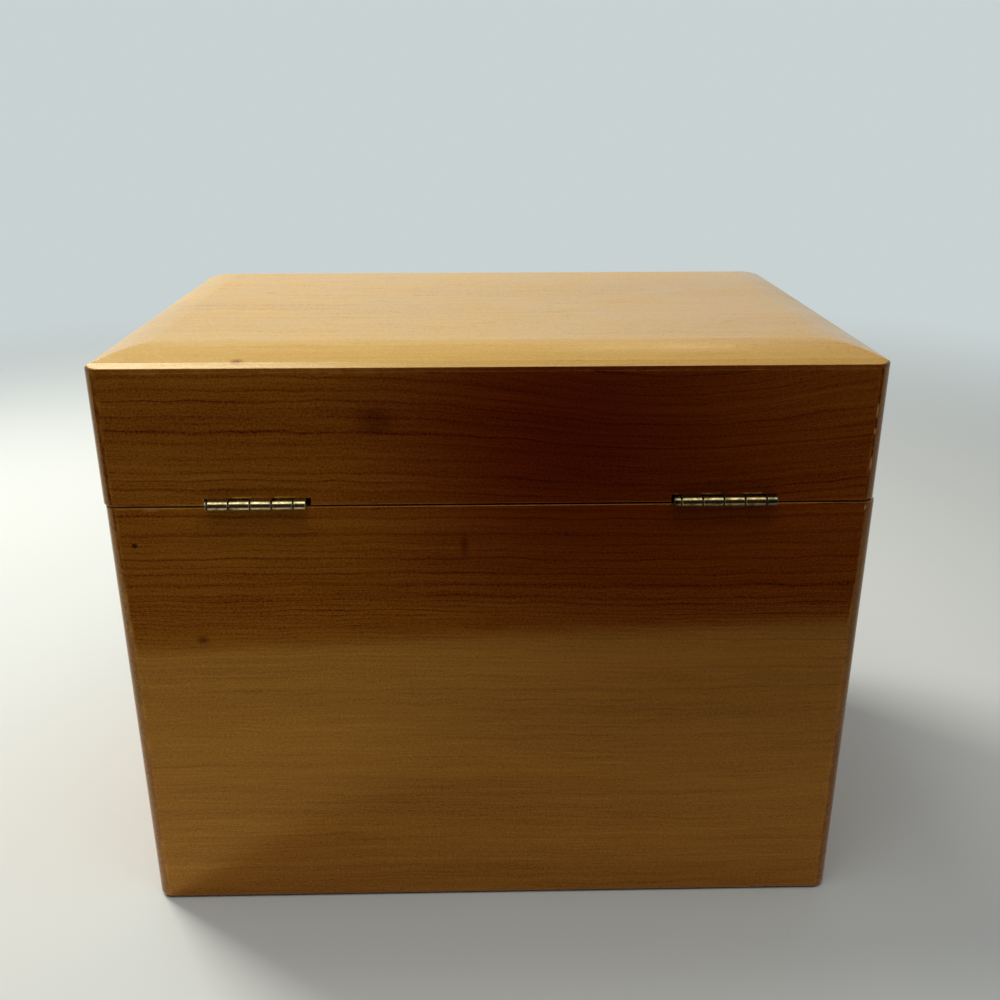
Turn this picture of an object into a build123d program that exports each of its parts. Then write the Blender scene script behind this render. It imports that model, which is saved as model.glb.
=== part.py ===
from build123d import *
import math
import os

# Recipe card box, in millimetres. +Z is up, +Y is the back, where the hinges are,
# and +X is the right-hand side as seen from the front. The origin is the centre of
# the underside. The real box is glued up closed and then sawn into a base and a lid,
# so the walls here are made as one hollow body, which is then divided into boards.

# ---- the box ----
WIDTH = 184.0            # across X
DEPTH = 123.0            # across Y, without the hinge barrels
BASE_HEIGHT = 115.0      # underside to the sawn rim of the base
SAW_GAP = 0.4            # open line between the base and the closed lid
ARRIS_HEIGHT = 148.5     # crisp edge where the lid's walls turn into its top
TOP_HEIGHT = 152.0       # flat middle of the top board
LID_SHIFT = 0.4          # the lid sits this far to the right of the base
WALL = 9.5               # thickness of every wall board
CORNER_RADIUS = 3.7      # upright corners
FOOT_RADIUS = 1.5        # edge round the underside
RIM_EASE = 0.3           # sanded edges of the two sawn rims

# ---- corner joints, bottom and top boards ----
CORNER_LIP = 3.0         # side board left standing outside the front and back boards
BOTTOM_THICKNESS = 6.4
BOTTOM_RABBET = 5.0      # how far the bottom board is let into each wall
TOP_THICKNESS = 9.5      # top board with the plug under it
TOP_EDGE = 1.0           # upright edge of the top board, under the arris
ARRIS_EASE = 0.3         # sanded round of the arris
PLUG_EASE = 0.5          # edge round the underside of the plug
SHAPED_WIDTH = 12.7      # width of the shaped edge of the top board
FACET_WIDTH = 1.8        # steeper strip along the arris
FACET_RISE = 1.0
CROWN_RADIUS = 34.4      # gentle crown of the rest of the shaped edge

# ---- hinges, cut from a continuous strip ----
AXIS_OUT = 1.6           # pin axis behind the back face
BARREL_RADIUS = 1.15
LEAF_THICKNESS = 0.6
LEAF_REACH = 8.5         # pin axis to the far edge of a leaf
KNUCKLE_PITCH = 5.03
KNUCKLE_GAP = 0.3        # slot between neighbouring knuckles
KNUCKLE_EASE = 0.1
LEAF_CLEARANCE = 0.8     # leaf cut back from the other leaf's knuckles
SEAM_WIDTH = 0.15        # open seam where a knuckle's curl meets its leaf
PIN_RADIUS = 0.5
PIN_CLEARANCE = 0.05     # radial, in the lid leaf's knuckles
GAIN_LENGTH = 25.0       # notch in the lid's back rail, along X
GAIN_CLEARANCE = 0.3     # past the far edge of the leaf
# name: centre of the gain, +X end of the strip, its length, its first knuckle's length
HINGES = {
    "left": (-54.9, -42.7, 24.4, 1.7),
    "right": (55.3, 67.3, 23.5, 0.5),
}

# ---- screws ----
SCREW_SPACING = 14.0     # between the two screws of a leaf
SCREW_INSET = 5.3        # pin axis to the row of screws
SCREW_LENGTH = 8.0
SCREW_RADIUS = 0.8
SCREW_TIP = 1.6          # length of the pointed end
HEAD_RADIUS = 1.5
HEAD_HALF_ANGLE = 41.0   # countersink, degrees from the screw's axis
SLOT_WIDTH = 0.4
SLOT_DEPTH = 0.3
SLOT_TURN = 25.0         # direction of the slot of a screw at X = 0, in degrees
SLOT_TURN_PER_MM = 3.0   # how that changes along X, so that no two slots are parallel

# ---- worked out ----
LID_BOTTOM = BASE_HEIGHT + SAW_GAP
RAIL_TOP = ARRIS_HEIGHT - TOP_EDGE
PLUG_BOTTOM = TOP_HEIGHT - TOP_THICKNESS
CAVITY_X = WIDTH / 2 - WALL          # half the inside width
CAVITY_Y = DEPTH / 2 - WALL          # half the inside depth
AXIS_Y = DEPTH / 2 + AXIS_OUT
AXIS_Z = BASE_HEIGHT + BARREL_RADIUS
LEAF_EDGE_Y = AXIS_Y - LEAF_REACH
LEAF_CUT_Y = AXIS_Y - BARREL_RADIUS - LEAF_CLEARANCE
LEAF_INNER = BARREL_RADIUS - LEAF_THICKNESS   # a leaf's inner face, off the pin axis
LID_BORE = PIN_RADIUS + PIN_CLEARANCE
HEAD_DEPTH = (HEAD_RADIUS - SCREW_RADIUS) / math.tan(math.radians(HEAD_HALF_ANGLE))
MARGIN = 5.0             # how far a cutting shape runs past what it cuts
NEAR = 0.01              # edges this close to a level lie on it


def block(x0, x1, y0, y1, z0, z1):
    """A plain block between two corners."""
    return Pos(x0, y0, z0) * Box(x1 - x0, y1 - y0, z1 - z0, align=(Align.MIN,) * 3)


def edges_at(body, z):
    """The edges of a body that lie on one level."""
    return body.edges().filter_by_position(Axis.Z, z - NEAR, z + NEAR)


def rounded_prism(z0, z1):
    """The plan of the box, with its upright corners rounded."""
    return Pos(0, 0, z0) * extrude(RectangleRounded(WIDTH, DEPTH, CORNER_RADIUS), z1 - z0)


# ---- walls ----

def wall_ring(outside, z0, z1, rim):
    """Four walls as one hollow body, with the edges of its sawn rim eased."""
    ring = outside - block(-CAVITY_X, CAVITY_X, -CAVITY_Y, CAVITY_Y, z0 - MARGIN, z1 + MARGIN)
    return fillet(edges_at(ring, rim), RIM_EASE)


def divide_walls(ring, z0, z1):
    """Front, back, left and right boards, with side boards rabbeted at the corners."""
    joint = WIDTH / 2 - CORNER_LIP
    front = block(-joint, joint, -DEPTH, -CAVITY_Y, z0, z1)
    back = block(-joint, joint, CAVITY_Y, DEPTH, z0, z1)
    sides = ring - front - back
    left = block(-WIDTH, 0, -DEPTH, DEPTH, z0, z1)
    right = block(0, WIDTH, -DEPTH, DEPTH, z0, z1)
    return ring & front, ring & back, sides & left, sides & right


def make_base():
    """The four base boards and the bottom let into them."""
    outside = rounded_prism(0, BASE_HEIGHT)
    outside = fillet(edges_at(outside, 0), FOOT_RADIUS)
    half_x = CAVITY_X + BOTTOM_RABBET
    half_y = CAVITY_Y + BOTTOM_RABBET
    bottom = block(-half_x, half_x, -half_y, half_y, 0, BOTTOM_THICKNESS)
    ring = wall_ring(outside, 0, BASE_HEIGHT, rim=BASE_HEIGHT) - bottom
    front, back, left, right = divide_walls(ring, -MARGIN, BASE_HEIGHT + MARGIN)
    return {
        "base_front_board": front,
        "base_back_board": back,
        "base_left_board": left,
        "base_right_board": right,
        "base_bottom_board": bottom,
    }


# ---- lid ----

def shaped_edges(half_span, run):
    """The top of the box as seen along one direction, with two shaped edges."""
    crease = (half_span - SHAPED_WIDTH, TOP_HEIGHT)
    facet = (half_span - FACET_WIDTH, ARRIS_HEIGHT + FACET_RISE)
    arris = (half_span, ARRIS_HEIGHT)
    half = [
        Line((0, TOP_HEIGHT), crease),
        RadiusArc(crease, facet, CROWN_RADIUS),
        Line(facet, arris),
        Line(arris, (half_span, 0)),
        Line((half_span, 0), (0, 0)),
        Line((0, 0), (0, TOP_HEIGHT)),
    ]
    side = extrude(Plane.XZ * make_face(half), run / 2, both=True)
    return side + mirror(side, Plane.YZ)


def make_top_board():
    """Shaped slab over the rails, with a plug that drops between them."""
    across = shaped_edges(WIDTH / 2, DEPTH + MARGIN)
    along = Rot(0, 0, 90) * shaped_edges(DEPTH / 2, WIDTH + MARGIN)
    slab = rounded_prism(RAIL_TOP, TOP_HEIGHT) & across & along
    slab = fillet(edges_at(slab, ARRIS_HEIGHT), ARRIS_EASE)
    plug = block(-CAVITY_X, CAVITY_X, -CAVITY_Y, CAVITY_Y, PLUG_BOTTOM, RAIL_TOP)
    plug = chamfer(edges_at(plug, PLUG_BOTTOM), PLUG_EASE)
    return slab + plug


def make_lid():
    """The four lid rails and the top board, all moved to where the lid really sits."""
    outside = rounded_prism(LID_BOTTOM, RAIL_TOP)
    ring = wall_ring(outside, LID_BOTTOM, RAIL_TOP, rim=LID_BOTTOM)
    front, back, left, right = divide_walls(ring, LID_BOTTOM - MARGIN, RAIL_TOP + MARGIN)
    boards = {
        "lid_front_rail": front,
        "lid_back_rail": back,
        "lid_left_rail": left,
        "lid_right_rail": right,
        "lid_top_board": make_top_board(),
    }
    return {name: Pos(LID_SHIFT, 0, 0) * board for name, board in boards.items()}


# ---- hinges: everything is made for the base leaf, and turned over for the lid ----

def turned_over(body):
    """Mirror a piece of the base's side of a hinge to the lid's side."""
    return mirror(body, Plane.XY.offset(AXIS_Z))


def rod(x0, x1, radius):
    """A round rod on the pin axis."""
    along = Pos(x0, AXIS_Y, AXIS_Z) * Rot(0, 90, 0)
    return along * Cylinder(radius, x1 - x0, align=(Align.CENTER, Align.CENTER, Align.MIN))


def knuckle_spans(end, length, first):
    """X span of each knuckle, from the strip's +X end, with a slot between neighbours."""
    start = end - length
    cuts = []
    cut = end - first
    while cut > start:
        cuts.append(cut)
        cut -= KNUCKLE_PITCH
    highs = [end] + [cut - KNUCKLE_GAP / 2 for cut in cuts]
    lows = [cut + KNUCKLE_GAP / 2 for cut in cuts] + [start]
    return list(zip(lows, highs))


def knuckle(low, high, bore):
    """One knuckle, curled up from its strip of the base leaf, with an open seam."""
    barrel = rod(low, high, BARREL_RADIUS)
    barrel = chamfer(barrel.edges().filter_by(GeomType.CIRCLE), KNUCKLE_EASE)
    strip = block(low, high, LEAF_CUT_Y, AXIS_Y, AXIS_Z - BARREL_RADIUS, AXIS_Z - LEAF_INNER)
    seam_z = AXIS_Z - LEAF_INNER
    seam = block(low - MARGIN, high + MARGIN, AXIS_Y - BARREL_RADIUS, AXIS_Y - PIN_RADIUS / 2,
                 seam_z, seam_z + SEAM_WIDTH)
    return barrel + strip - seam - rod(low - MARGIN, high + MARGIN, bore)


def make_leaf(end, length, spans, bore):
    """A flat leaf lying on the base's rim, with its knuckles."""
    leaf = block(end - length, end, LEAF_EDGE_Y, LEAF_CUT_Y,
                 AXIS_Z - BARREL_RADIUS, AXIS_Z - LEAF_INNER)
    for low, high in spans:
        leaf += knuckle(low, high, bore)
    return leaf


def screw_blank(x):
    """A countersunk screw with no slot, its head flush with the base leaf's inner face."""
    outline = Polyline(
        (0, 0),
        (HEAD_RADIUS, 0),
        (SCREW_RADIUS, -HEAD_DEPTH),
        (SCREW_RADIUS, SCREW_TIP - SCREW_LENGTH),
        (0, -SCREW_LENGTH),
        close=True,
    )
    blank = revolve(Plane.XZ * make_face(outline), Axis.Z)
    return Pos(x, AXIS_Y - SCREW_INSET, AXIS_Z - LEAF_INNER) * blank


def screw_slot(x):
    """What is cut from a screw's head for the screwdriver."""
    slot = Box(4 * HEAD_RADIUS, SLOT_WIDTH, 2 * SLOT_DEPTH)
    turn = Rot(0, 0, SLOT_TURN + SLOT_TURN_PER_MM * x)
    return Pos(x, AXIS_Y - SCREW_INSET, AXIS_Z - LEAF_INNER) * turn * slot


def make_hinge(name, end, length, first):
    """The five nodes of one hinge, and the screw holes for the base and for the lid."""
    spans = knuckle_spans(end, length, first)
    middle = end - length / 2
    places = [middle - SCREW_SPACING / 2, middle + SCREW_SPACING / 2]
    blanks = [screw_blank(x) for x in places]
    screws = [blank - screw_slot(x) for blank, x in zip(blanks, places)]
    base_leaf = make_leaf(end, length, spans[0::2], PIN_RADIUS) - blanks
    lid_leaf = make_leaf(end, length, spans[1::2], LID_BORE) - blanks
    nodes = {
        f"{name}_hinge_base_leaf": base_leaf,
        f"{name}_hinge_lid_leaf": turned_over(lid_leaf),
        f"{name}_hinge_pin": rod(end - length, end, PIN_RADIUS),
        f"{name}_hinge_base_screws": Compound(children=screws),
        f"{name}_hinge_lid_screws": Compound(children=[turned_over(one) for one in screws]),
    }
    return nodes, blanks, [turned_over(blank) for blank in blanks]


def hinge_gain(centre):
    """The notch in the lid's back rail that takes both folded leaves."""
    return block(centre - GAIN_LENGTH / 2, centre + GAIN_LENGTH / 2,
                 LEAF_EDGE_Y - GAIN_CLEARANCE, AXIS_Y,
                 LID_BOTTOM - MARGIN, AXIS_Z + BARREL_RADIUS)


def make_box():
    """Every node of the card box, by name."""
    nodes = make_base() | make_lid()
    for name, (centre, end, length, first) in HINGES.items():
        hinge, base_holes, lid_holes = make_hinge(name, end, length, first)
        nodes["base_back_board"] -= base_holes
        nodes["lid_back_rail"] -= lid_holes + [hinge_gain(centre)]
        nodes |= hinge
    return nodes


os.makedirs("parts", exist_ok=True)
for node_name, node in make_box().items():
    export_step(node, f"parts/{node_name}.step")
    print(node_name, [round(solid.volume, 1) for solid in node.solids()])
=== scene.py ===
# %% [markdown]
# # A recipe card box in varnished maple
# The real box is a small hardwood carcass, glued up closed and then sawn into a base and a lid,
# which hang together on two short lengths of strip hinge. Every piece is rigid, and the frame
# brings each one in at its true size and place. So this lesson is about surfaces: boards that look
# cut from a log, an amber varnish that has seen some use, and tarnished brass.

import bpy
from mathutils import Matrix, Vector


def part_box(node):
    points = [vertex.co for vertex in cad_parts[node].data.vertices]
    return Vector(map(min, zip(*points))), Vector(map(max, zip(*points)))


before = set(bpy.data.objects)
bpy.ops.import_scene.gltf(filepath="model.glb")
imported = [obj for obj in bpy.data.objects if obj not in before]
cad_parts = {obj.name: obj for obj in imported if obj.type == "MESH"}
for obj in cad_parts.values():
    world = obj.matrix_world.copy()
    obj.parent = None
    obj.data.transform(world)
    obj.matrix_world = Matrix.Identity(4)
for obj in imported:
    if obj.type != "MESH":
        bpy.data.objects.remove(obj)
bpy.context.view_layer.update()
print("pieces in the frame:", len(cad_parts))

# %% what the lesson needs from Blender
import math
from dataclasses import dataclass

import bmesh
import bpy
from mathutils import Matrix, Vector

MM = 0.001   # one millimetre in metres

# %% [markdown]
# ## Measures
# All patterns below are tied to the box, so its measures are read from the frame once, in
# millimetres. The inside of the box is what lies between the inner faces of the four walls, and
# its finish differs from the outside.

# %% measure the box


def corner_mm(node_name, which):
    """Lowest (0) or highest (1) corner of one piece of the box, in millimetres."""
    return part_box(node_name)[which] / MM


box_high = corner_mm("base_right_board", 1)
inner_x = -corner_mm("base_left_board", 1).x
inner_y = corner_mm("base_back_board", 0).y
floor_of_cavity = corner_mm("base_bottom_board", 1).z
roof_of_cavity = corner_mm("lid_top_board", 0).z
ARRIS_OVER_RAILS = 1.0   # height of the top board's upright edge, mm
arris_z = corner_mm("lid_back_rail", 1).z + ARRIS_OVER_RAILS
top_z = corner_mm("lid_top_board", 1).z
back_y = corner_mm("base_back_board", 1).y
joint_x = corner_mm("base_back_board", 1).x
print(f"outside {2 * box_high.x:.1f} x {2 * box_high.y:.1f} x {top_z:.1f} mm")
print(f"inside {2 * inner_x:.1f} x {2 * inner_y:.1f} mm, walls meet at X = {joint_x:.1f}")

# %% [markdown]
# ## Colours and nodes
# Paint makers and screens give colours as sRGB hex values, and Blender's shaders work on linear
# light, so one function turns the one into the other. A second one adds a shader node, sets it up
# and links it, which keeps a long material readable as a chain of named results.

# %% colours and nodes


def linear(hex_colour):
    """An sRGB colour such as "#D6AC6C" as linear red, green, blue and alpha."""
    parts = [int(hex_colour[i:i + 2], 16) / 255 for i in (1, 3, 5)]
    light = [c / 12.92 if c <= 0.04045 else ((c + 0.055) / 1.055) ** 2.4 for c in parts]
    return (*light, 1.0)


def node(tree, kind, inputs=(), **settings):
    """Add one shader node, apply its settings, fill or link its inputs, and return its first output."""
    made = tree.nodes.new("ShaderNode" + kind)
    for name, value in settings.items():
        setattr(made, name, value)
    sockets = [socket for socket in made.inputs if socket.enabled]
    pairs = inputs.items() if isinstance(inputs, dict) else enumerate(inputs)
    for key, value in pairs:
        socket = sockets[key] if isinstance(key, int) else next(s for s in sockets if s.name == key)
        if isinstance(value, bpy.types.NodeSocket):
            tree.links.new(value, socket)
        else:
            socket.default_value = value
    return next((socket for socket in made.outputs if socket.enabled), None)


def blank_material(name):
    """A material with an empty node tree."""
    material = bpy.data.materials.new(name)
    material.use_nodes = True
    material.node_tree.nodes.clear()
    return material


def ramp(tree, factor, *stops):
    """A smooth scale of colours, from (place, hex colour) stops."""
    scale = node(tree, "ValToRGB", [factor])
    elements = scale.node.color_ramp.elements
    for place, colour in stops[len(elements):]:
        elements.new(place)
    for element, (place, colour) in zip(elements, stops):
        element.position = place
        element.color = linear(colour)
    return scale


print("varnish over a pale board:", [round(c, 3) for c in linear("#D6AC6C")[:3]])

# %% [markdown]
# ## How a board is cut
# Wood is a solid pattern: fibres run one way, growth rings pass through the board, and a face
# shows whichever rings it happens to cut. A painted-on picture would break at every edge, so the
# pattern here is worked out in space, in millimetres, and the end grain, the shaped edges and the
# corner joints show the right cut of it by themselves.
#
# A board is described by which axis runs along the grain, where in the log it was cut, how far
# apart its rings are and how they lean through its thickness, and by the arch of its figure.

# %% describe a board


@dataclass
class Arch:
    """A dip in the rings of a board, as where the saw passed near the heart of the log."""
    centre: float          # along the grain, mm
    half_length: float     # mm
    shallow: tuple         # (place across the board, depth of the dip there), mm
    deep: tuple            # the same where it is deepest


@dataclass
class Mark:
    """A knot, fleck or redder patch: an ellipsoid that fades towards its edge."""
    centre: tuple          # place on the box, mm
    size: tuple            # half its size along X, Y and Z, mm
    colour: str            # what it lets through of the wood's own colour
    strength: float
    soft: float = 0.6      # share of it that is the faded edge
    covers: bool = False   # True for a chip or a painted glint, whose colour replaces the wood's


@dataclass
class Board:
    """How one board was cut, and its colours from pale to dark."""
    name: str
    axes: str              # axes along the grain, across the board and through it
    slide: tuple           # where in the log it was cut, mm
    lean: float            # how the rings lean through the board, degrees
    ring_gap: float        # mm
    ring_show: float       # how plainly the rings show, 0 to 1
    colours: tuple         # four hex colours: pale, middle, deep, ring line
    arch: Arch = None
    crowding: tuple = ()   # height under which the rings crowd, and how many more there are per mm
    faint: tuple = ()      # height under which the rings fade, and how plain they are at the bottom
    marks: tuple = ()
    edge_colours: tuple = ()   # colours below the arris, where a top board joins the walls: painted shade, darker like the walls
    edge_marks: tuple = ()
    mirror: float = 1.0    # how strongly the varnish mirrors, 0.5 for a thin worn coat
    gloss: tuple = (0.07, 0.11)   # roughness of the varnish, where clean and where handled
    tint: str = "#FFCE60"  # colour of what the varnish mirrors head on
    relief: float = 0.004  # how far the varnish sinks over pores and rings, mm


print("a board has", len(Board.__dataclass_fields__), "properties")

# %% [markdown]
# ## Growth rings
# `ring_height` measures how far a point lies across the rings. Where it is constant there is a
# ring, so an arch in it gives the nested curves of a flat-sawn board, and slow noise gives the
# wander that keeps a real board from looking ruled. Everything finer - bands, fibres and flecks -
# is then drawn in coordinates that follow the rings, as fibres do in a tree.

# %% where a point lies in its board
BLOTCH_ROUGHNESS = 0.55   # how much of its strength each finer octave of noise keeps


def place_in_board(tree, board):
    """Where a point is, in mm, as (along the grain, across the board, through it)."""
    place = node(tree, "TexCoord").node.outputs["Object"]
    in_mm = node(tree, "VectorMath", {"Vector": place, "Scale": 1 / MM}, operation="SCALE")
    parts = node(tree, "SeparateXYZ", [in_mm]).node.outputs
    turned = node(tree, "CombineXYZ", [parts[axis] for axis in board.axes])
    return in_mm, turned


def blotches(tree, place, length, width, detail=2.0):
    """Noise from 0 to 1 whose blotches have this length along the grain and width across it, in mm."""
    stretched = node(tree, "VectorMath", [place, (1 / length, 1 / width, 1 / width)], operation="MULTIPLY")
    return node(tree, "TexNoise", {"Vector": stretched, "Scale": 1.0, "Detail": detail,
                                   "Roughness": BLOTCH_ROUGHNESS})


print("one step of a pattern is", MM, "m")

# %% how far across the rings a point lies
SLOW_WANDER = (170, 26, 2.6)    # length and width of the slow bends of the rings, and their size, mm
QUICK_WANDER = (13, 5, 0.8)     # the same for the quick ones
NOISE_SPREAD = (0.25, 0.75)     # most noise lies between these
NOISE_MIDDLE = 0.5


def wander(tree, place, length, width, size):
    """A gentle shift of up to about half of size, in mm, either way."""
    noise = blotches(tree, place, length, width, 1.0)
    low, high = NOISE_SPREAD
    return node(tree, "MapRange", {"Value": noise, "From Min": low, "From Max": high,
                                   "To Min": -size / 2, "To Max": size / 2}, clamp=False)


def arch_dip(tree, turned, arch):
    """How far the rings dip at this point of an arched board."""
    parts = node(tree, "SeparateXYZ", [turned]).node.outputs
    off_centre = node(tree, "Math", [parts["X"], arch.centre], operation="SUBTRACT")
    spread = node(tree, "Math", [off_centre, arch.half_length], operation="DIVIDE")
    squared = node(tree, "Math", [spread, spread], operation="MULTIPLY")
    bell = node(tree, "Math", [math.exp(-1), squared], operation="POWER")
    (low, low_depth), (high, high_depth) = arch.shallow, arch.deep
    depth = node(tree, "MapRange", {"Value": parts["Y"], "From Min": low, "From Max": high,
                                    "To Min": low_depth, "To Max": high_depth},
                 interpolation_type="SMOOTHSTEP")
    return node(tree, "Math", [bell, depth], operation="MULTIPLY")


def ring_height(tree, turned, slid, board):
    """How far a point lies across the rings of its board, in mm."""
    lean = math.radians(board.lean)
    height = node(tree, "VectorMath", [turned, (0, math.cos(lean), math.sin(lean))],
                  operation="DOT_PRODUCT")
    for length, width, size in (SLOW_WANDER, QUICK_WANDER):
        shift = wander(tree, slid, length, width, size)
        height = node(tree, "Math", [height, shift], operation="ADD")
    if board.arch:
        dip = arch_dip(tree, turned, board.arch)
        height = node(tree, "Math", [height, dip], operation="ADD")
    return height


print("rings bend by up to", SLOW_WANDER[2] / 2, "mm")

# %% the line that ends a year's growth
RING_LINE = 0.5           # half its width, mm
SEASONS = 9.0             # height over which good and poor years follow each other, mm
SEASON_SHIFT = 1.6        # how many rings they shift the count by
FAINTEST_YEAR = 0.3       # how plain the faintest line is
FADING_OVER = 35          # height over which rings fade towards the faint part of a board, mm


def ring_lines(tree, height, board):
    """Dark lines where one year ends, some plain and some faint, from 0 to 1."""
    season = node(tree, "Math", [height, SEASONS], operation="DIVIDE")
    uneven = node(tree, "TexNoise", {"W": season, "Scale": 1.0, "Detail": 1.0}, noise_dimensions="1D")
    years = node(tree, "Math", [height, board.ring_gap], operation="DIVIDE")
    years = node(tree, "Math", [uneven, SEASON_SHIFT, years], operation="MULTIPLY_ADD")
    if board.crowding:
        below, more = board.crowding
        extra = node(tree, "MapRange", {"Value": height, "From Max": below, "To Min": -below * more,
                                        "To Max": 0.0})
        years = node(tree, "Math", [years, extra], operation="ADD")
    from_line = node(tree, "Math", [years, 0.5], operation="PINGPONG")
    line = node(tree, "MapRange", {"Value": from_line, "From Min": RING_LINE / board.ring_gap,
                                   "From Max": 0.0, "To Min": 0.0, "To Max": 1.0},
                interpolation_type="SMOOTHSTEP")
    year = node(tree, "Math", [years], operation="ROUND")
    plainness = node(tree, "TexWhiteNoise", [year], noise_dimensions="1D")
    strength = node(tree, "MapRange", {"Value": plainness, "To Min": FAINTEST_YEAR, "To Max": 1.0})
    line = node(tree, "Math", [line, strength], operation="MULTIPLY")
    if board.faint:
        below, plain = board.faint
        fading = node(tree, "MapRange", {"Value": height, "From Min": below - FADING_OVER,
                                         "From Max": below, "To Min": plain, "To Max": 1.0})
        line = node(tree, "Math", [line, fading], operation="MULTIPLY")
    return line


print("a ring line is", 2 * RING_LINE, "mm wide")

# %% [markdown]
# ## Varnished maple
# Maple is close and even in texture. Under an amber varnish its colour runs from honey to brown
# along soft bands, with hair-fine fibres and short darker flecks where it cuts the rays. All of
# these go into one number, the depth of colour, which a scale of four colours then turns into
# honey, amber and brown, as a stain does: darker parts are also redder.
#
# The finish is worked out in three steps: the depth of colour here, then wear and marks, and last
# the whole varnished surface.

# %% what goes into the depth of colour
# Length and width in mm, weight, and octaves of finer detail:
TONE = (150, 17, 0.55, 3)       # of the broad patches of colour
BANDS = (90, 1.3, 0.40, 2)      # of the soft bands between the rings
FIBRES = (17, 0.40, 0.44, 1)    # of the fibres, drawn a little coarser than they are so that they show
SPECKLE = (0.6, 0.42, 0.85, 1)  # of the speckle of pores under the varnish, also drawn coarser
RAY_FLECK = (2.4, 0.42)         # length and width of the flecks where rays are cut, mm
FLECKED = (0.58, 0.72)          # noise level at which a fleck starts, and at which it is full
FLECK_WEIGHT = 0.12
RING_WEIGHT = 0.32
PLAIN_DEPTH = 0.5               # depth of colour where none of these shows


def depth_of_colour(tree, flow, rings, board):
    """Bands, fibres, flecks and rings of a board as one number, about 0 for pale to 1 for dark."""
    depth = PLAIN_DEPTH
    for length, width, weight, detail in (TONE, BANDS, FIBRES, SPECKLE):
        noise = blotches(tree, flow, length, width, detail)
        level = node(tree, "Math", [noise, NOISE_MIDDLE], operation="SUBTRACT")
        depth = node(tree, "Math", [level, weight, depth], operation="MULTIPLY_ADD")
    starts, full = FLECKED
    flecks = node(tree, "MapRange", {"Value": blotches(tree, flow, *RAY_FLECK), "From Min": starts,
                                     "From Max": full})
    depth = node(tree, "Math", [flecks, FLECK_WEIGHT, depth], operation="MULTIPLY_ADD")
    return node(tree, "Math", [rings, RING_WEIGHT * board.ring_show, depth], operation="MULTIPLY_ADD")


print("speckles are drawn", SPECKLE[1], "mm wide")

# %% [markdown]
# ## Wear, marks and the bare inside
# End grain is the cut ends of the fibres, like a bundle of straws, so it drinks more colour. The
# varnish is rubbed thin along edges, in patches where hands take hold. The Bevel node finds those
# edges: near one it bends the normal, however large the faces beside it are. Knots, chips and a
# painted highlight of pale dots along one corner are single things at known places, so each is an
# ellipsoid laid over the colour. Inside, the box was never varnished, and the same pattern shows
# paler and dull there.

# %% end grain and rubbed edges
END_GRAIN_FACING = (0.35, 0.9)   # how squarely a face cuts the fibres where it starts to show, and fully
END_GRAIN_DEPTH = 0.22           # how much deeper its colour is
WEAR_REACH = 1.6                 # how far in from an edge the varnish is rubbed, mm
EDGE_FACING = (0.99, 0.88)       # how far the normal is bent where wear starts, and where it is full
PATCH_SIZE = 4.0                 # mm
PATCHES = (0.46, 0.68)           # noise level at which a rubbed patch starts, and is full
MOST_RUBBED = 0.5                # how much depth of colour is lost there


def end_grain(tree, board):
    """1 where a face cuts straight across the fibres, 0 along them."""
    normal = node(tree, "TexCoord").node.outputs["Normal"]
    along_grain = tuple(float(axis == board.axes[0]) for axis in "XYZ")
    facing = node(tree, "VectorMath", [normal, along_grain], operation="DOT_PRODUCT")
    facing = node(tree, "Math", [facing], operation="ABSOLUTE")
    starts, full = END_GRAIN_FACING
    return node(tree, "MapRange", {"Value": facing, "From Min": starts, "From Max": full})


def rubbed_edges(tree, in_mm):
    """How much depth of colour is rubbed off, in patches along the edges."""
    rounded = node(tree, "Bevel", {"Radius": WEAR_REACH * MM}, samples=6)
    true_normal = node(tree, "NewGeometry").node.outputs["True Normal"]
    facing = node(tree, "VectorMath", [rounded, true_normal], operation="DOT_PRODUCT")
    starts, full = EDGE_FACING
    edge = node(tree, "MapRange", {"Value": facing, "From Min": starts, "From Max": full})
    starts, full = PATCHES
    patchy = node(tree, "MapRange", {"Value": blotches(tree, in_mm, PATCH_SIZE, PATCH_SIZE, 3.0),
                                     "From Min": starts, "From Max": full,
                                     "To Min": 0.0, "To Max": MOST_RUBBED})
    return node(tree, "Math", [edge, patchy], operation="MULTIPLY")


print("edges are rubbed up to", WEAR_REACH, "mm in")

# %% marks


def mark_mask(tree, in_mm, mark):
    """1 in the middle of a mark, fading to 0 at its edge."""
    off = node(tree, "VectorMath", [in_mm, mark.centre], operation="SUBTRACT")
    shares = node(tree, "VectorMath", [off, mark.size], operation="DIVIDE")
    reach = node(tree, "VectorMath", [shares], operation="LENGTH")
    return node(tree, "MapRange", {"Value": reach, "From Min": 1.0, "From Max": 1.0 - mark.soft,
                                   "To Min": 0.0, "To Max": mark.strength},
                interpolation_type="SMOOTHSTEP")


def add_marks(tree, in_mm, colour, marks):
    """Lay marks over a colour: most tint it, and a chip or a painted glint covers it."""
    for mark in marks:
        mask = mark_mask(tree, in_mm, mark)
        way = "MIX" if mark.covers else "MULTIPLY"
        colour = node(tree, "Mix", {"Factor": mask, "A": colour, "B": linear(mark.colour)},
                      data_type="RGBA", blend_type=way)
    return colour


print("a mark fades over the outer", Mark.soft, "of its size, unless it says otherwise")

# %% the bare inside
WALL_MARGIN = 0.6   # takes in the faces of the walls, of which the lid's stand a little over, mm


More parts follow.
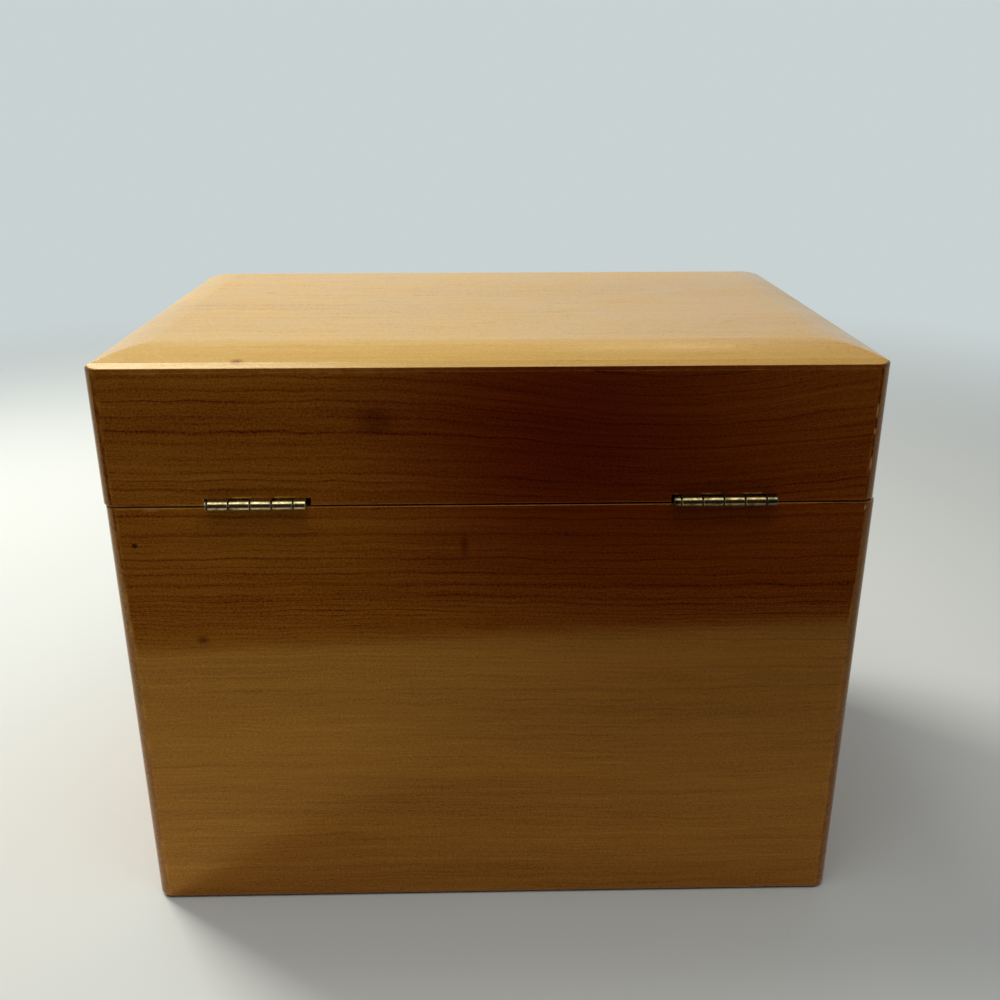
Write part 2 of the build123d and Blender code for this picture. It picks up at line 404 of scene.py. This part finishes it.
def inside_mask(tree, in_mm):
    """1 on the unvarnished inside of the box, 0 outside."""
    parts = node(tree, "SeparateXYZ", [in_mm]).node.outputs
    mask = 1.0
    for axis, limit in (("X", inner_x), ("Y", inner_y)):
        off = node(tree, "Math", [parts[axis]], operation="ABSOLUTE")
        within = node(tree, "Math", [off, limit + WALL_MARGIN], operation="LESS_THAN")
        mask = node(tree, "Math", [within, mask], operation="MULTIPLY")
    above = node(tree, "Math", [parts["Z"], floor_of_cavity - WALL_MARGIN], operation="GREATER_THAN")
    below = node(tree, "Math", [parts["Z"], roof_of_cavity + WALL_MARGIN], operation="LESS_THAN")
    between = node(tree, "Math", [above, below], operation="MULTIPLY")
    return node(tree, "Math", [mask, between], operation="MULTIPLY")


print(f"bare from Z = {floor_of_cavity:.1f} to {roof_of_cavity:.1f} mm")

# %% [markdown]
# ## The varnished surface
# An oil varnish brushed on by hand is smooth but not flat: it sinks a little over pores and rings,
# and carries a faint orange peel. Its roughness is low where it is clean and higher where it was
# handled. Its refractive index is 1.5, and because it is amber, it tints what it mirrors head on.

# %% varnished maple
EDGE_SOFTNESS = 0.12         # how far sanding rounds an edge, mm
BARE_MAPLE = "#DDBE8C"       # maple without varnish, a little yellowed by age
BARE_SHARE = 0.72            # how far the inside goes from the varnished colour to that
BARE_ROUGHNESS = 0.62
VARNISH_IOR = 1.5
HANDLED_SIZE = 16.0          # size of the duller patches, mm
HANDLED = (0.35, 0.7)        # noise level at which varnish is clean, and at which it is dull
PEEL_SIZE = 1.1              # of the orange peel, mm
SCALE_PLACES = (0.12, 0.42, 0.75, 1.0)   # depths of colour of the pale, middle, deep and line colours


def varnished_maple(board):
    """The finish of one board: maple under an amber varnish, bare on the inside of the box."""
    material = blank_material(board.name)
    tree = material.node_tree
    in_mm, turned = place_in_board(tree, board)
    slid = node(tree, "VectorMath", [turned, board.slide], operation="ADD")
    height = ring_height(tree, turned, slid, board)
    rings = ring_lines(tree, height, board)
    parts = node(tree, "SeparateXYZ", [slid]).node.outputs
    flow = node(tree, "CombineXYZ", [parts["X"], height, parts["Z"]])
    depth = depth_of_colour(tree, flow, rings, board)

    # End grain drinks more colour, and rubbed edges have lost some.
    drunk = node(tree, "Math", [end_grain(tree, board), END_GRAIN_DEPTH, depth], operation="MULTIPLY_ADD")
    worn = node(tree, "Math", [drunk, rubbed_edges(tree, in_mm)], operation="SUBTRACT")

    # Colour: the scale, then marks, then the bare inside.
    colour = ramp(tree, worn, *zip(SCALE_PLACES, board.colours))
    colour = add_marks(tree, in_mm, colour, board.marks)
    # Below the arris the top board takes the walls' deeper colours: painted shade on its upright edge.
    if board.edge_colours:
        upright = ramp(tree, worn, *zip(SCALE_PLACES, board.edge_colours))
        upright = add_marks(tree, in_mm, upright, board.edge_marks)
        level = node(tree, "SeparateXYZ", [in_mm]).node.outputs["Z"]
        below = node(tree, "Math", [level, arris_z], operation="LESS_THAN")
        colour = node(tree, "Mix", {"Factor": below, "A": colour, "B": upright}, data_type="RGBA")
    inside = inside_mask(tree, in_mm)
    paler = node(tree, "Mix", {"Factor": BARE_SHARE, "A": colour, "B": linear(BARE_MAPLE)},
                 data_type="RGBA")
    colour = node(tree, "Mix", {"Factor": inside, "A": colour, "B": paler}, data_type="RGBA")

    # Gloss: clean varnish, duller where it was handled, and dull bare wood.
    clean, dull = board.gloss
    low, high = HANDLED
    handled = node(tree, "MapRange", {"Value": blotches(tree, in_mm, HANDLED_SIZE, HANDLED_SIZE, 4.0),
                                      "From Min": low, "From Max": high,
                                      "To Min": clean, "To Max": dull})
    roughness = node(tree, "Mix", {"Factor": inside, "A": handled, "B": BARE_ROUGHNESS},
                     data_type="FLOAT")

    # Relief: the varnish sinks over pores and rings, and carries a faint orange peel.
    peel = blotches(tree, in_mm, PEEL_SIZE, PEEL_SIZE)
    sunk = node(tree, "Math", [depth, -1.0, peel], operation="MULTIPLY_ADD")
    soft = node(tree, "Bevel", {"Radius": EDGE_SOFTNESS * MM}, samples=6)
    relief = node(tree, "Bump", {"Strength": 1.0, "Distance": board.relief * MM, "Height": sunk,
                                 "Normal": soft})
    surface = node(tree, "BsdfPrincipled", {
        "Base Color": colour,
        "Roughness": roughness,
        "IOR": VARNISH_IOR,
        "Specular IOR Level": board.mirror,
        "Specular Tint": linear(board.tint),
        "Normal": relief,
    })
    node(tree, "OutputMaterial", {"Surface": surface})
    return material


print("varnish with an index of", VARNISH_IOR)

# %% [markdown]
# ## Six boards
# The lid is sawn off the finished box, so a lid rail and the base board under it are one board,
# and share one finish: the figure runs on across the saw cut. The back board has a wide arch in
# the lid, flattening towards the base, with a redder heart; that heart also darkens it towards its
# left end, partly the wood's own tone and partly painted shade. The side boards run front to back,
# so their ends show at the back corners as end grain.

# %% colours and marks that boards share
# The walls share a deeper amber than the top's honey: partly the wood's own colour, partly painted shade,
# as the walls stand in shade below the lit top.
HONEY = ("#D8B268", "#D0A756", "#C69A4C", "#9A6A30")
SHADED_AMBER = ("#BC7E30", "#A8681E", "#8A4812", "#5A2008")

# The redder heart of the back board, which also darkens it towards its left end as painted shade, and pale
# dots along the joint at one of its ends, a painted highlight where the rounded corner glints.
REDDER_HEART_AND_SHADE = (
    # Broad, darker towards the left end: partly the wood's own tone, partly painted shade away from the
    # lamps.
    Mark((-58, back_y, 112), (130, 12, 100), "#CCA294", 1.0, 0.95),
    Mark((-18, back_y, 134), (72, 12, 62), "#BE768A", 1.0, 0.95),
)
# Painted highlight: pale dots down the joint at one back corner, where the rounded corner glints.
CORNER_GLINT_DOTS = tuple(
    Mark((-joint_x, back_y, middle), (0.35, 2.0, half_length), "#D8AC70", 0.8, 0.6, covers=True)
    for middle, half_length in ((137.5, 2.4), (132.6, 1.0), (124.6, 2.2), (113.6, 0.9))
)
print(len(REDDER_HEART_AND_SHADE), "redder patches and", len(CORNER_GLINT_DOTS), "specks of glue")

# %% choose the boards
back_board = Board(
    "maple_back_board", "XZY", (31, 0, 7), 24, 2.4, 1.0, SHADED_AMBER,
    arch=Arch(centre=-42.3, half_length=44, shallow=(101, 1.2), deep=(153, 8.5)),
    crowding=(108, 0.45),
    faint=(104, 0.3),
    marks=REDDER_HEART_AND_SHADE + CORNER_GLINT_DOTS + (
        Mark((80.7, back_y, 114.5), (2.9, 2.0, 0.6), "#C08048", 0.7, 0.7, covers=True),   # a chip
        Mark((85.5, back_y, 105.4), (1.0, 2.0, 0.9), "#5A4038", 0.9),   # a pin knot
        Mark((26.9, back_y, 136.2), (7.0, 4.0, 5.0), "#9A6866", 0.6, 0.95),
        Mark((71.8, back_y, 79.8), (2.4, 2.0, 1.8), "#8A6050", 0.7, 0.9),
        Mark((6.8, back_y, 104.8), (1.4, 3.0, 4.5), "#8A5858", 0.6, 0.9),
    ),
)
front_board = Board(
    "maple_front_board", "XZY", (410, 33, 60), -20, 3.1, 0.8, SHADED_AMBER,
    arch=Arch(centre=30, half_length=60, shallow=(110, 1.0), deep=(20, -9.0)),
)
left_board = Board(
    "maple_left_board", "YZX", (120, 210, 15), 38, 2.8, 0.4, SHADED_AMBER, marks=REDDER_HEART_AND_SHADE + CORNER_GLINT_DOTS,
)
right_board = Board("maple_right_board", "YZX", (-230, 95, 44), -42, 3.0, 0.4, SHADED_AMBER)
top_board = Board(
    "maple_top_board", "XYZ", (64, 12, 30), -62, 2.6, 0.4, HONEY, edge_colours=SHADED_AMBER, edge_marks=REDDER_HEART_AND_SHADE,
    mirror=0.5, gloss=(0.2, 0.3), tint="#FFF0D0", relief=0.022,
    marks=(
        Mark((-110, 0, top_z), (170, 150, 60), "#E6DED0", 1.0, 0.95),   # painted shade: darker towards the left end, away from the lamps
        Mark((62.9, -14.3, top_z), (1.9, 0.45, 2.0), "#5A4634", 0.9, 0.5),   # a dark fleck
        Mark((-16.6, 6.6, top_z), (1.6, 0.5, 2.0), "#A88868", 0.6),
        Mark((57.7, 59.5, arris_z + 1.2), (2.2, 1.6, 1.6), "#B07060", 0.8, 0.9),
    ),
)
bottom_board = Board("maple_bottom_board", "XYZ", (-90, 300, 12), 55, 3.2, 0.7, SHADED_AMBER)

BOARDS = [
    (back_board, ("base_back_board", "lid_back_rail")),
    (front_board, ("base_front_board", "lid_front_rail")),
    (left_board, ("base_left_board", "lid_left_rail")),
    (right_board, ("base_right_board", "lid_right_rail")),
    (top_board, ("lid_top_board",)),
    (bottom_board, ("base_bottom_board",)),
]
print(len(BOARDS), "boards")

# %% put the finish on


def finish_pieces(material, node_names):
    """Put a finish on pieces that keep their CAD shape."""
    for name in node_names:
        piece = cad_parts[name]
        piece.data.materials.clear()
        piece.data.materials.append(material)


for board, node_names in BOARDS:
    finish_pieces(varnished_maple(board), node_names)
    print(board.name, "on", ", ".join(node_names))

# %% [markdown]
# ## Tarnished brass
# The hinges are cut from rolled brass strip with a thin bright plating, long handled. Where the
# barrel is rubbed it is a pale, greenish gold, and between the knuckles it is brown, partly with
# grime and partly as painted shade. Drawing the strip left fine lines along it. That darkening is
# found by how closed in a point is, so it gathers in the slots and the shaded gaps by itself.

# %% tarnished brass
PALE_BRASS = "#C6B98C"
TARNISH = "#756848"
GRIME_AND_SHADE = "#2A2014"
FILM_BLOTCH = (1.6, 0.9)    # length and width of a blotch of tarnish, mm
FILMED = (0.4, 0.66)        # noise level at which the film starts, and at which it is full
GRIME_AND_SHADE_REACH = 0.7           # how near a wall must stand for grime and painted shade to gather, mm
CLOSED_IN = (0.75, 0.35)    # share of open sky at which grime starts, and at which it is full
MOST_GRIME_AND_SHADE = 0.9
DRAWN_LINE = (7.0, 0.12)    # length and width of a drawn line, mm
DRAWN_DEPTH = 0.004         # mm
BRASS_EDGE = 0.08           # how far its edges are rounded, mm


def worn_brass(name, bright, dull, roughness, marks=()):
    """Brass with a tarnished film, drawn lines along X, and grime and painted shade where it is closed in.
    """
    material = blank_material(name)
    tree = material.node_tree
    place = node(tree, "TexCoord").node.outputs["Object"]
    in_mm = node(tree, "VectorMath", {"Vector": place, "Scale": 1 / MM}, operation="SCALE")
    starts, full = FILMED
    film = node(tree, "MapRange", {"Value": blotches(tree, in_mm, *FILM_BLOTCH, 4.0),
                                   "From Min": starts, "From Max": full})
    metal = node(tree, "Mix", {"Factor": film, "A": linear(bright), "B": linear(dull)},
                 data_type="RGBA")
    metal = add_marks(tree, in_mm, metal, marks)
    # Grime and painted shade: darker brown where a point is closed in, in the slots and gaps.
    open_sky = node(tree, "AmbientOcclusion", {"Distance": GRIME_AND_SHADE_REACH * MM}, samples=8)
    openness = open_sky.node.outputs["AO"]
    starts, full = CLOSED_IN
    dirt_and_shade = node(tree, "MapRange", {"Value": openness, "From Min": starts, "From Max": full,
                                   "To Min": 0.0, "To Max": MOST_GRIME_AND_SHADE})
    colour = node(tree, "Mix", {"Factor": dirt_and_shade, "A": metal, "B": linear(GRIME_AND_SHADE)}, data_type="RGBA")
    lines = blotches(tree, in_mm, *DRAWN_LINE)
    low, high = roughness
    gloss = node(tree, "MapRange", {"Value": film, "To Min": low, "To Max": high})
    soft = node(tree, "Bevel", {"Radius": BRASS_EDGE * MM}, samples=4)
    relief = node(tree, "Bump", {"Strength": 1.0, "Distance": DRAWN_DEPTH * MM, "Height": lines,
                                 "Normal": soft})
    surface = node(tree, "BsdfPrincipled", {
        "Base Color": colour,
        "Metallic": 1.0,
        "Roughness": gloss,
        "Normal": relief,
    })
    node(tree, "OutputMaterial", {"Surface": surface})
    return material


print("grime gathers within", GRIME_AND_SHADE_REACH, "mm")

# %% [markdown]
# ## One hinge darker than the other
# The left hinge's whole barrel is darker than the other's, as painted shade. It is browner still
# at its inner end, and its outer knuckle is bluish grey.

# %% finish the hinges and screws
knuckle = corner_mm("left_hinge_pin", 0)
LEFT_HINGE_SHADE_AND_TINT = (
    # Bluish grey at the outer knuckle, darker brown at the inner end, and the whole barrel darker as
    # painted shade.
    Mark((-67, knuckle.y, knuckle.z), (3.6, 4.0, 4.0), "#A8B4C8", 0.9, 0.3),
    Mark((-42, knuckle.y, knuckle.z), (2.6, 4.0, 4.0), "#60564C", 0.9, 0.5),
    Mark((-55, knuckle.y, knuckle.z), (16, 5.0, 5.0), "#C0B8A8", 0.8, 0.3),
)
hinge_brass = worn_brass("tarnished_brass_strip", PALE_BRASS, TARNISH, (0.16, 0.34), LEFT_HINGE_SHADE_AND_TINT)

# Turned brass, yellower and cleaner because the closed lid covers it.
screw_brass = worn_brass("turned_brass_screw", "#DDBE78", "#A88A50", (0.2, 0.34))
HINGE_PARTS = ("base_leaf", "lid_leaf", "pin")
SCREW_PARTS = ("base_screws", "lid_screws")
for side in ("left", "right"):
    finish_pieces(hinge_brass, [f"{side}_hinge_{part}" for part in HINGE_PARTS])
    finish_pieces(screw_brass, [f"{side}_hinge_{part}" for part in SCREW_PARTS])
print("hinges and screws finished")

# %% [markdown]
# ## The camera
# The photograph was taken from behind the box and a little above it, close by, so the lens sees
# the sides converge downwards. The place, turn and tilt below were found by fitting the corners of
# the box, with the lens as the width of the picture needs.

# %% the camera
CAMERA_PLACE = Vector((2.91, 294.57, 206.41)) * MM
CAMERA_TURN = 178.859    # degrees from looking along +Y
CAMERA_TILT = 21.126     # degrees below the horizon
CAMERA_ROLL = -0.101     # degrees
CAMERA_LENS = 38.06      # mm
CAMERA_SENSOR = 36       # width, mm
NEAREST_SEEN = 10        # mm

camera_data = bpy.data.cameras.new("camera")
camera_data.sensor_width = CAMERA_SENSOR
camera_data.lens = CAMERA_LENS
camera_data.clip_start = NEAREST_SEEN * MM
camera = bpy.data.objects.new("camera", camera_data)
bpy.context.scene.collection.objects.link(camera)
camera.matrix_world = (
    Matrix.Translation(CAMERA_PLACE)
    @ Matrix.Rotation(math.radians(CAMERA_TURN), 4, "Z")
    @ Matrix.Rotation(math.radians(90 - CAMERA_TILT), 4, "X")
    @ Matrix.Rotation(math.radians(CAMERA_ROLL), 4, "Z")
)
bpy.context.scene.camera = camera
print("camera", round(CAMERA_PLACE.length / MM), "mm from the origin")

# %% [markdown]
# ## Floor and backdrop
# The box stands on a plain pale floor that fades into an even backdrop of the same tone. The floor
# is a disc whose rim fades to clear, so it keeps the shadow of the box and has no horizon. The
# backdrop is the world, seen by the camera and in reflections, and a dimmer world lights the box.

# %% floor
FLOOR_RADIUS = 900          # mm
FLOOR_FADE = (330, 850)     # distance from the box where the floor starts and ends fading, mm
FLOOR_SIDES = 96            # sides of the disc
FLOOR_COLOUR = "#D2D7D5"
BACKDROP = "#C9D2D2"


def stage_mesh(name, mesh_bmesh, material):
    """A piece of the stage, which isn't part of the box."""
    mesh = bpy.data.meshes.new(name)
    mesh_bmesh.to_mesh(mesh)
    mesh_bmesh.free()
    mesh.materials.append(material)
    thing = bpy.data.objects.new(name, mesh)
    bpy.context.scene.collection.objects.link(thing)
    return thing


pale_floor = blank_material("pale_floor")
tree = pale_floor.node_tree
place = node(tree, "TexCoord").node.outputs["Object"]
distance = node(tree, "VectorMath", [place], operation="LENGTH")
clear = node(tree, "MapRange", {"Value": distance, "From Min": FLOOR_FADE[0] * MM,
                                "From Max": FLOOR_FADE[1] * MM}, interpolation_type="SMOOTHSTEP")
matt = node(tree, "BsdfDiffuse", {"Color": linear(FLOOR_COLOUR)})
faded = node(tree, "MixShader", [clear, matt, node(tree, "BsdfTransparent")])
node(tree, "OutputMaterial", {"Surface": faded})

disc = bmesh.new()
bmesh.ops.create_circle(disc, cap_ends=True, segments=FLOOR_SIDES, radius=FLOOR_RADIUS * MM)
stage_mesh("floor", disc, pale_floor)
print("floor", 2 * FLOOR_RADIUS, "mm across")

# %% the world
WORLD_LIGHT = 0.25      # strength with which the world lights the box
SKY = "#F4F8FF"         # colour of that light

world = bpy.data.worlds.new("studio")
bpy.context.scene.world = world
world.use_nodes = True
world.node_tree.nodes.clear()
tree = world.node_tree
rays = node(tree, "LightPath").node.outputs
seen = node(tree, "Math", [rays["Is Camera Ray"], rays["Is Glossy Ray"]], operation="ADD")
seen = node(tree, "Math", [seen, rays["Is Transmission Ray"]], operation="ADD", use_clamp=True)
backdrop = node(tree, "Background", {"Color": linear(BACKDROP), "Strength": 1.0})
soft_sky = node(tree, "Background", {"Color": linear(SKY), "Strength": WORLD_LIGHT})
node(tree, "OutputWorld", {"Surface": node(tree, "MixShader", [seen, soft_sky, backdrop])})
print("world light", WORLD_LIGHT)

# %% [markdown]
# ## Lamps and the dark side of the room
# The light falls from above and from beyond the box, more from the photograph's left, so the top is
# bright and the back, which faces the camera, is in shade. A large lamp overhead lights everything
# softly. A long key lamp and a square side lamp on that left give the light its direction, and a
# small lamp beyond the box puts the sheen on the shaped edge.
#
# Varnish mirrors what stands before it. In the lower third of the back it mirrors the pale floor,
# and above that the dim room beyond the floor. Two dark flags, a low one on the floor and a tall
# one behind the camera, stand for that room. They are hidden from the camera and cast no shadow.

# %% lamps


def soft_lamp(name, place_mm, aim_mm, size_mm, watts, colour):
    """A rectangular area lamp at one point, aimed at another."""
    data = bpy.data.lights.new(name, "AREA")
    data.shape = "RECTANGLE"
    data.size, data.size_y = (side * MM for side in size_mm)
    data.energy = watts
    data.color = linear(colour)[:3]
    lamp = bpy.data.objects.new(name, data)
    bpy.context.scene.collection.objects.link(lamp)
    place, aim = Vector(place_mm) * MM, Vector(aim_mm) * MM
    turn = (place - aim).to_track_quat("Z", "Y").to_matrix().to_4x4()
    lamp.matrix_world = Matrix.Translation(place) @ turn
    print(name, "lamp,", watts, "W")


LID_MIDDLE = (0, 0, top_z)
soft_lamp("key", (260, -120, 740), LID_MIDDLE, (100, 420), 1.8, "#FFFAF0")
soft_lamp("side", (470, -360, 480), LID_MIDDLE, (260, 260), 3.5, "#FFFAF0")
soft_lamp("overhead", (0, 240, 900), LID_MIDDLE, (700, 500), 2.5, "#FFFCF6")
soft_lamp("beyond", (-210, -690, 790), LID_MIDDLE, (160, 100), 0.12, "#FFF2D8")

# %% flags
FLAG_EDGE_Y = 206.5     # where the pale floor's reflection ends, at X = 0, mm
FLAG_SKEW = -0.07       # how its edge runs across, mm of Y for each mm of X
FLAG_FAR_Y = 1300       # where the low flag ends and the tall one stands, mm
FLAG_HALF_WIDTH = 1300
FLAG_HEIGHT = 1500
OVER_FLOOR = 1          # height of the low flag, mm
DIM_ROOM = "#3A2A1C"

dim_room = blank_material("dim_room")
tree = dim_room.node_tree
# The flags glow dimly: besides the dark room that the box mirrors, they give it a faint warm fill light.
glow = node(tree, "Emission", {"Color": linear(DIM_ROOM), "Strength": 1.0})
from_behind = node(tree, "NewGeometry").node.outputs["Backfacing"]
one_sided = node(tree, "MixShader", [from_behind, glow, node(tree, "BsdfTransparent")])
node(tree, "OutputMaterial", {"Surface": one_sided})


def flag(name, corners_mm):
    """A dark sheet that the box sees and the camera doesn't, facing the way its corners turn."""
    sheet = bmesh.new()
    sheet.faces.new([sheet.verts.new(Vector(corner) * MM) for corner in corners_mm])
    thing = stage_mesh(name, sheet, dim_room)
    thing.visible_camera = False
    thing.visible_shadow = False


across = FLAG_SKEW * FLAG_HALF_WIDTH
flag("low_flag", [
    (-FLAG_HALF_WIDTH, FLAG_EDGE_Y - across, OVER_FLOOR),
    (FLAG_HALF_WIDTH, FLAG_EDGE_Y + across, OVER_FLOOR),
    (FLAG_HALF_WIDTH, FLAG_FAR_Y, OVER_FLOOR),
    (-FLAG_HALF_WIDTH, FLAG_FAR_Y, OVER_FLOOR),
])
flag("tall_flag", [
    (-FLAG_HALF_WIDTH, FLAG_FAR_Y, 0),
    (FLAG_HALF_WIDTH, FLAG_FAR_Y, 0),
    (FLAG_HALF_WIDTH, FLAG_FAR_Y, FLAG_HEIGHT),
    (-FLAG_HALF_WIDTH, FLAG_FAR_Y, FLAG_HEIGHT),
])
print("the floor's reflection ends at Y =", FLAG_EDGE_Y, "mm")

# %% [markdown]
# ## View transform
# Standard view transform, so that a colour renders as it is written.

# %% view transform
bpy.context.scene.view_settings.view_transform = "Standard"
